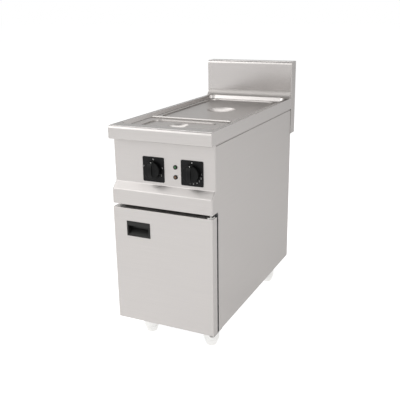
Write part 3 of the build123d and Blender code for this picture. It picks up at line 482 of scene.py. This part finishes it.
def finishes():
    """One finish for each material slot of the record, and those of OWN_FINISH."""
    return {
        # Ground stainless: pale and soft on the cabinet, clearer on the worktop, and clearest on the upstand
        "satin_stainless": stainless_sheet("satin_stainless", upright=0.4, lying=0.2),
        "bright_stainless": stainless_sheet("bright_stainless", upright=0.2, lying=0.2),
        "worktop_stainless": stainless_sheet(
            "worktop_stainless", upright=0.3, lying=0.2, joint_from=WORKTOP_TOP
        ),
        "lid_stainless": drawn_stainless(),
        "galvanised_steel": galvanised_steel(),
        # Zinc-plated steel: a light grey that shines softly
        "zinc_steel": plated_metal("zinc_plated_steel", "#C6C5C3", "#A9A7A4", grain_mm=4.0, roughness=0.34),
        # Turned brass: a warm yellow, a little dulled
        "valve_brass": plated_metal("turned_brass", "#C9A55C", "#AE8A45", grain_mm=5.0, roughness=0.3),
        # Drawn copper tube: reddish and smooth
        "copper_capillary": plated_metal("drawn_copper", "#C98B66", "#B0714C", grain_mm=6.0, roughness=0.32),
        # Polished stainless tube: nearly white, with clear reflections
        "polished_stainless": plated_metal(
            "polished_stainless", "#E4E3E1", "#D6D5D3", grain_mm=8.0, roughness=0.22
        ),
        # Black ABS: deep black with a weak sheen on the knobs, paler and duller on the pull
        "black_plastic": moulded_plastic(
            "black_abs", "#0B0C0C", "#060707", grain_mm=1.2, roughness=0.36, relief=0.12, sheen=0.18
        ),
        "pull_plastic": moulded_plastic(
            "pull_abs", "#2E2E2C", "#252524", grain_mm=1.2, roughness=0.45, relief=0.12, sheen=0.3
        ),
        # Printed plate: black and matt
        "dial_plate": moulded_plastic(
            "printed_black_plate", "#161617", "#101011", grain_mm=2.0, roughness=0.5, relief=0.05, sheen=0.2
        ),
        # Nylon: mid grey with a dull shine
        "grey_nylon": moulded_plastic(
            "grey_nylon", "#8E8F8E", "#7C7D7C", grain_mm=1.5, roughness=0.5, relief=0.08
        ),
        # Thermoset switch bodies: cream, with a dull moulded skin
        "switch_plastic": moulded_plastic(
            "cream_thermoset", "#D8D4C6", "#C8C4B4", grain_mm=2.0, roughness=0.45, relief=0.06
        ),
        # Silicone rubber: brick red and matt, with a coarse grain
        "silicone_heater": moulded_plastic(
            "red_silicone", "#A8482C", "#8E3820", grain_mm=1.4, roughness=0.6, relief=0.2
        ),
        # Braided sleeve: dark grey, rough and uneven
        "wire_sleeve": moulded_plastic(
            "braided_sleeve", "#3A3A3A", "#1C1C1C", grain_mm=1.6, roughness=0.65, relief=0.3
        ),
        "green_lens": lamp_lens("green_polycarbonate", "#34783F", "#0E3014", middle("green_lamp_lens")),
        "amber_lens": lamp_lens("amber_polycarbonate", "#8E6A4C", "#3A2014", middle("amber_lamp_lens")),
    }


def dress_nodes():
    """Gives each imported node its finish."""
    slots = finishes()
    for row in frame["record"]["subparts"]:
        mesh = NODES[row["node"]].data
        mesh.materials.clear()
        mesh.materials.append(slots[OWN_FINISH.get(row["node"], row["material_slot"])])


def piece(name, shape, material, body):
    """Makes a mesh piece from a bmesh, gives it its finish and lets it ride on a body."""
    mesh = bpy.data.meshes.new(name)
    shape.to_mesh(mesh)
    shape.free()
    mesh.materials.append(material)
    made = bpy.data.objects.new(name, mesh)
    bpy.context.scene.collection.objects.link(made)
    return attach(made, body)


def numeral(text):
    """A flat numeral as a mesh, centred on the origin in the XY plane and a little thick."""
    curve = bpy.data.curves.new("numeral", "FONT")
    curve.body = text
    curve.size = MARK_HEIGHT / NUMERAL_SHARE
    curve.align_x = "CENTER"
    curve.extrude = (MARK_LIFT + MARK_SINK) / 2
    curve.offset = STROKE_SWELL
    holder = bpy.data.objects.new("numeral", curve)
    bpy.context.scene.collection.objects.link(holder)
    bpy.context.view_layer.update()
    mesh = bpy.data.meshes.new_from_object(holder)
    bpy.data.objects.remove(holder)
    mesh.transform(Matrix.Translation((0, -MARK_HEIGHT / 2, 0)))
    return mesh


def dial_marks(name, plate, marks, ink):
    """Numerals printed on a dial plate, upright, around the plate's middle."""
    centre = middle(plate)
    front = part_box(plate)[0].y - (MARK_LIFT - MARK_SINK) / 2
    upright = Matrix.Rotation(radians(90), 4, "X")
    shape = bmesh.new()
    for text, (angle, reach) in marks.items():
        out = Matrix.Rotation(radians(angle), 4, "Y") @ Vector((0, 0, reach))
        place = Matrix.Translation((centre.x + out.x, front, centre.z + out.z))
        mesh = numeral(text)
        mesh.transform(place @ upright)
        shape.from_mesh(mesh)
        bpy.data.meshes.remove(mesh)
    return piece(name, shape, ink, "cabinet")


def pointer(name, knob, body, ink):
    """A white dot on the disc's rim above the grip's end, set a little into the surface."""
    centre = middle(knob)
    probe = Vector((centre.x, CAD_BOX[0][1] - PROBE_LEAD, centre.z + POINTER_REACH))
    _, place, normal, _ = NODES[knob].ray_cast(probe, Vector((0, 1, 0)))
    turn = normal.to_track_quat("Z", "Y").to_matrix().to_4x4()
    shape = bmesh.new()
    bmesh.ops.create_cone(
        shape,
        cap_ends=True,
        segments=POINTER_SIDES,
        radius1=POINTER_RADIUS,
        radius2=POINTER_RADIUS,
        depth=MARK_LIFT + 2 * MARK_SINK,
        matrix=Matrix.Translation(place) @ turn,
    )
    return piece(name, shape, ink, body)


def camera():
    """The photograph's camera."""
    lens = bpy.data.cameras.new("photo_camera")
    lens.lens = CAMERA_LENS
    lens.sensor_width = CAMERA_SENSOR
    made = bpy.data.objects.new("photo_camera", lens)
    heading = Matrix.Rotation(radians(CAMERA_HEADING), 4, "Z")
    tilt = Matrix.Rotation(radians(90 - CAMERA_DOWN), 4, "X")
    roll = Matrix.Rotation(radians(CAMERA_ROLL), 4, "Z")
    made.matrix_world = Matrix.Translation(CAMERA_PLACE) @ heading @ tilt @ roll
    bpy.context.scene.collection.objects.link(made)
    bpy.context.scene.camera = made


def seen_directly(tree):
    """1 for camera, glossy and transmission rays, which see the white studio, and 0 for its light."""
    rays = add(tree, "ShaderNodeLightPath").outputs
    first = add(
        tree,
        "ShaderNodeMath",
        {0: rays["Is Camera Ray"], 1: rays["Is Glossy Ray"]},
        operation="MAXIMUM",
    )
    both = add(
        tree,
        "ShaderNodeMath",
        {0: first.outputs[0], 1: rays["Is Transmission Ray"]},
        operation="MAXIMUM",
    )
    return both.outputs[0]


def studio_world():
    """White walls under a dimmer ceiling."""
    world = bpy.data.worlds.new("white_studio")
    world.use_nodes = True
    tree = world.node_tree
    tree.nodes.clear()
    strength = add(
        tree,
        "ShaderNodeMapRange",
        {"Value": seen_directly(tree), "To Min": ROOM_LIGHT, "To Max": 1.0},
    )
    towards = add(tree, "ShaderNodeSeparateXYZ", {0: add(tree, "ShaderNodeTexCoord").outputs["Generated"]})
    height = add(
        tree,
        "ShaderNodeMapRange",
        {
            "Value": towards.outputs["Z"],
            "From Min": CEILING_FROM,
            "From Max": CEILING_FULL,
            "To Min": 1.0,
            "To Max": CEILING,
        },
    )
    level = add(
        tree,
        "ShaderNodeMath",
        {0: strength.outputs[0], 1: height.outputs[0]},
        operation="MULTIPLY",
    )
    room = add(tree, "ShaderNodeBackground", {"Color": linear(WHITE), "Strength": level.outputs[0]})
    add(tree, "ShaderNodeOutputWorld", {"Surface": room.outputs[0]})
    bpy.context.scene.world = world


def studio_floor():
    """Pale paper that keeps the object's shadow and glows to white where it is seen directly."""
    material, tree, _ = start("studio_floor")
    paper = add(tree, "ShaderNodeBsdfDiffuse", {"Color": linear(FLOOR_COLOUR)})
    glow_level = add(tree, "ShaderNodeMath", {0: seen_directly(tree), 1: FLOOR_GLOW}, operation="MULTIPLY")
    glow = add(tree, "ShaderNodeEmission", {"Color": linear(WHITE), "Strength": glow_level.outputs[0]})
    both = add(tree, "ShaderNodeAddShader", {0: paper.outputs[0], 1: glow.outputs[0]})
    close(material, both)
    shape = bmesh.new()
    bmesh.ops.create_grid(shape, x_segments=1, y_segments=1, size=FLOOR_HALF)
    mesh = bpy.data.meshes.new("studio_floor")
    shape.to_mesh(mesh)
    shape.free()
    mesh.materials.append(material)
    made = bpy.data.objects.new("studio_floor", mesh)
    bpy.context.scene.collection.objects.link(made)


def softboxes():
    """Soft rectangular lamps around the unit."""
    for name, (place, width, height, power) in LAMPS.items():
        lamp = bpy.data.lights.new(name, "AREA")
        lamp.shape = "RECTANGLE"
        lamp.size = width
        lamp.size_y = height
        lamp.energy = power
        made = bpy.data.objects.new(name, lamp)
        aim = (Vector(LAMP_TARGET) - Vector(place)).to_track_quat("-Z", "Y")
        made.matrix_world = Matrix.Translation(place) @ aim.to_matrix().to_4x4()
        bpy.context.scene.collection.objects.link(made)


dress_nodes()
ink = printed_white()
dial_marks("selector_marks", "selector_plate", SELECTOR_MARKS, ink)
dial_marks("thermostat_marks", "thermostat_plate", THERMOSTAT_MARKS, ink)
pointer("selector_pointer", "selector_knob", "selector", ink)
pointer("thermostat_pointer", "thermostat_knob", "thermostat", ink)
camera()
studio_world()
studio_floor()
softboxes()
bpy.context.scene.view_settings.view_transform = "Standard"
